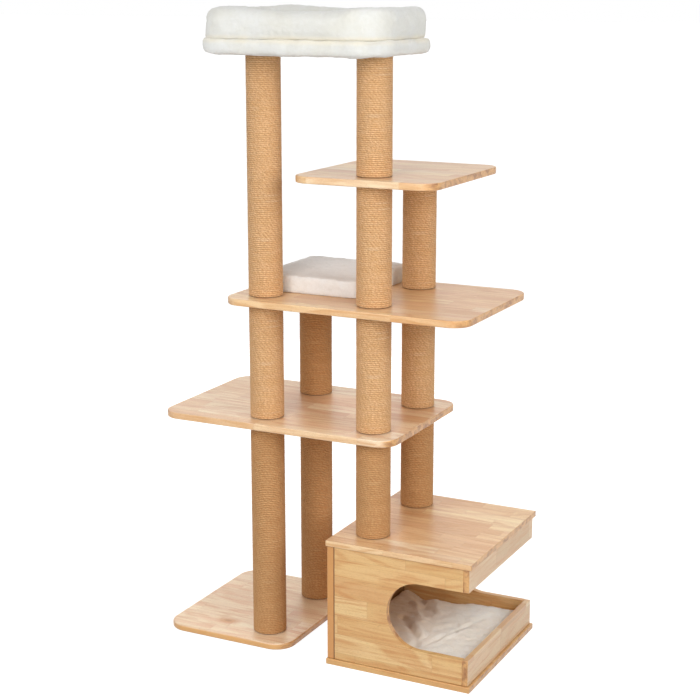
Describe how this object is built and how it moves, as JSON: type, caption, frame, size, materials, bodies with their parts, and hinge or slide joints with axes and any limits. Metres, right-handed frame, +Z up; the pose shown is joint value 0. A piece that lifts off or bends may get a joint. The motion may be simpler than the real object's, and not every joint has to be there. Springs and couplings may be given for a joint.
{
  "type": "cat tree",
  "caption": "Free-standing cat tree with rope-wrapped posts, solid-wood shelves, an open-sided wooden cubby and a plush bed on top.",
  "frame": {"origin": "on the floor, under the middle of the whole tree's bounding box", "axes": "+Z up, +X to the right along the front of the shelves, +Y from front to back"},
  "size_m": [0.904, 0.534, 1.67],
  "materials": {
    "shelf_wood": "finger-jointed rubberwood staves, clear satin lacquer",
    "panel_wood": "warm rubberwood staves, clear satin lacquer",
    "dowel_wood": "raw turned wood",
    "card": "spiral-wound cardboard tube",
    "jute": "twisted jute rope, wound close",
    "steel": "zinc-plated steel",
    "plush": "white short-pile plush",
    "cushion_plush": "cream short-pile plush",
    "mat_plush": "beige plush, crumpled"
  },
  "bodies": {
    "tree": {"base_board": "shelf_wood", "lower_shelf": "shelf_wood", "middle_shelf": "shelf_wood", "upper_shelf": "shelf_wood", "bed_board": "shelf_wood", "cubby_top": "shelf_wood", "cubby_bottom": "shelf_wood", "cubby_side": "panel_wood", "cubby_front": "panel_wood", "cubby_back": "panel_wood", "cubby_upper_rail": "panel_wood", "cubby_lower_rail": "panel_wood", "cubby_dowels": "dowel_wood", "cubby_screws": "steel", "core_front_left_low": "card", "core_front_left_mid": "card", "core_front_left_top": "card", "core_front_right_low": "card", "core_front_right_mid": "card", "core_front_right_high": "card", "core_front_right_top": "card", "core_back_left_low": "card", "core_back_left_mid": "card", "core_back_right_low": "card", "core_back_right_mid": "card", "core_back_right_high": "card", "rope_front_left_low": "jute", "rope_front_left_mid": "jute", "rope_front_left_top": "jute", "rope_front_right_low": "jute", "rope_front_right_mid": "jute", "rope_front_right_high": "jute", "rope_front_right_top": "jute", "rope_back_left_low": "jute", "rope_back_left_mid": "jute", "rope_back_right_low": "jute", "rope_back_right_mid": "jute", "rope_back_right_high": "jute", "end_plugs_front_left": "dowel_wood", "end_plugs_front_right": "dowel_wood", "end_plugs_back_left": "dowel_wood", "end_plugs_back_right": "dowel_wood", "post_inserts": "steel", "shelf_inserts": "steel", "joining_studs": "steel", "blind_studs": "steel", "post_bolts": "steel", "post_washers": "steel", "bed_tier": "plush", "bed_under_cover": "plush", "bed_bolster": "plush", "bed_pad": "plush"},
    "shelf_cushion": {"shelf_cushion": "cushion_plush"},
    "cubby_mat": {"cubby_mat": "mat_plush"}
  },
  "joints": [
    {"name": "cushion_lift", "type": "slide", "parent": "tree", "child": "shelf_cushion", "axis": [0, 0, 1], "range_m": [0, 0.2]},
    {"name": "mat_lift", "type": "slide", "parent": "tree", "child": "cubby_mat", "axis": [0, 0, 1], "range_m": [0, 0.1]}
  ]
}
